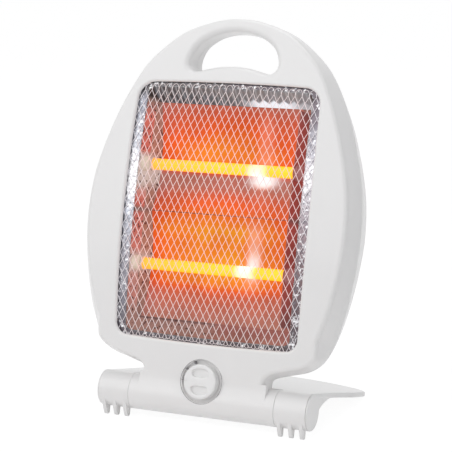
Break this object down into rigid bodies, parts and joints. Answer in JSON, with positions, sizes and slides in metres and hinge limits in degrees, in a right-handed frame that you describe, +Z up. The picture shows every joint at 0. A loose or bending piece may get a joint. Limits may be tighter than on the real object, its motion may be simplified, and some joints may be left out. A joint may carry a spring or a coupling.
{
  "type": "quartz heater",
  "caption": "Free-standing two-tube quartz radiant heater with an oval white body, wire grille, carrying handle, rotary knob and a folding rear stand plate.",
  "frame": {"origin": "centre of the bounding box's footprint, on the surface the heater stands on", "axes": "+Z up, the grille faces -Y, +X to the right of someone who looks at the grille"},
  "size_m": [0.2556, 0.17, 0.345],
  "materials": {
    "white_plastic": "glossy moulded, warm white",
    "knob_plastic": "glossy moulded, white",
    "grille_wire": "bright plated wire mesh",
    "silvered_sheet": "bright embossed sheet",
    "plain_sheet": "plain galvanised sheet",
    "quartz_glass": "clear, lit from inside",
    "glowing_coil": "resistance wire, glowing orange",
    "ceramic": "unglazed cream",
    "dark_plastic": "moulded",
    "grey_plastic": "moulded",
    "lead_sleeve": "heat-proof sleeving",
    "screw_steel": "zinc plated"
  },
  "bodies": {
    "stand": {"stand": "white_plastic", "hub_cap_right": "white_plastic", "hub_cap_left": "white_plastic"},
    "heater": {"front_cover": "white_plastic", "rear_cover": "white_plastic", "grille_mesh": "grille_wire", "reflector_tray": "silvered_sheet", "reflector_lower": "silvered_sheet", "quartz_tube_lower": "quartz_glass", "heating_coil_lower": "glowing_coil", "ceramic_cap_lower_right": "ceramic", "ceramic_cap_lower_left": "ceramic", "reflector_upper": "silvered_sheet", "quartz_tube_upper": "quartz_glass", "heating_coil_upper": "glowing_coil", "ceramic_cap_upper_right": "ceramic", "ceramic_cap_upper_left": "ceramic", "tube_bracket_right": "plain_sheet", "tube_bracket_left": "plain_sheet", "heat_shield": "plain_sheet", "cover_screw_1": "screw_steel", "cover_screw_2": "screw_steel", "cover_screw_3": "screw_steel", "cover_screw_4": "screw_steel", "cover_screw_5": "screw_steel", "cover_screw_6": "screw_steel", "tray_screw_1": "screw_steel", "tray_screw_2": "screw_steel", "tray_screw_3": "screw_steel", "tray_screw_4": "screw_steel", "bracket_screw_1": "screw_steel", "bracket_screw_2": "screw_steel", "bracket_screw_3": "screw_steel", "bracket_screw_4": "screw_steel", "shield_screw_1": "screw_steel", "shield_screw_2": "screw_steel", "shield_screw_3": "screw_steel", "shield_screw_4": "screw_steel", "rotary_switch": "dark_plastic", "terminal_block": "grey_plastic", "thermal_fuse": "screw_steel", "lead_upper_right": "lead_sleeve", "lead_lower_right": "lead_sleeve", "lead_upper_left": "lead_sleeve", "lead_lower_left": "lead_sleeve", "cord_gland": "grey_plastic", "pivot_journal_right": "grey_plastic", "pivot_washer_right": "screw_steel", "pivot_screw_right": "screw_steel", "pivot_journal_left": "grey_plastic", "pivot_washer_left": "screw_steel", "pivot_screw_left": "screw_steel", "tilt_switch_housing": "dark_plastic"},
    "knob": {"knob": "knob_plastic", "switch_shaft": "grey_plastic"},
    "tilt_pendulum": {"tilt_pendulum": "screw_steel"}
  },
  "joints": [
    {"name": "stand_fold", "type": "hinge", "parent": "stand", "child": "heater", "pos_m": [0, -0.06703, 0.0214], "axis": [1, 0, 0], "range_deg": [0, 90]},
    {"name": "knob_turn", "type": "hinge", "parent": "heater", "child": "knob", "pos_m": [0, -0.07476, 0.0395], "axis": [0, 0.9684, -0.2494], "range_deg": [0, 64]},
    {"name": "tilt_swing", "type": "hinge", "parent": "heater", "child": "tilt_pendulum", "pos_m": [0.024, -0.05583, 0.0625], "axis": [1, 0, 0], "range_deg": [-12, 12]}
  ]
}
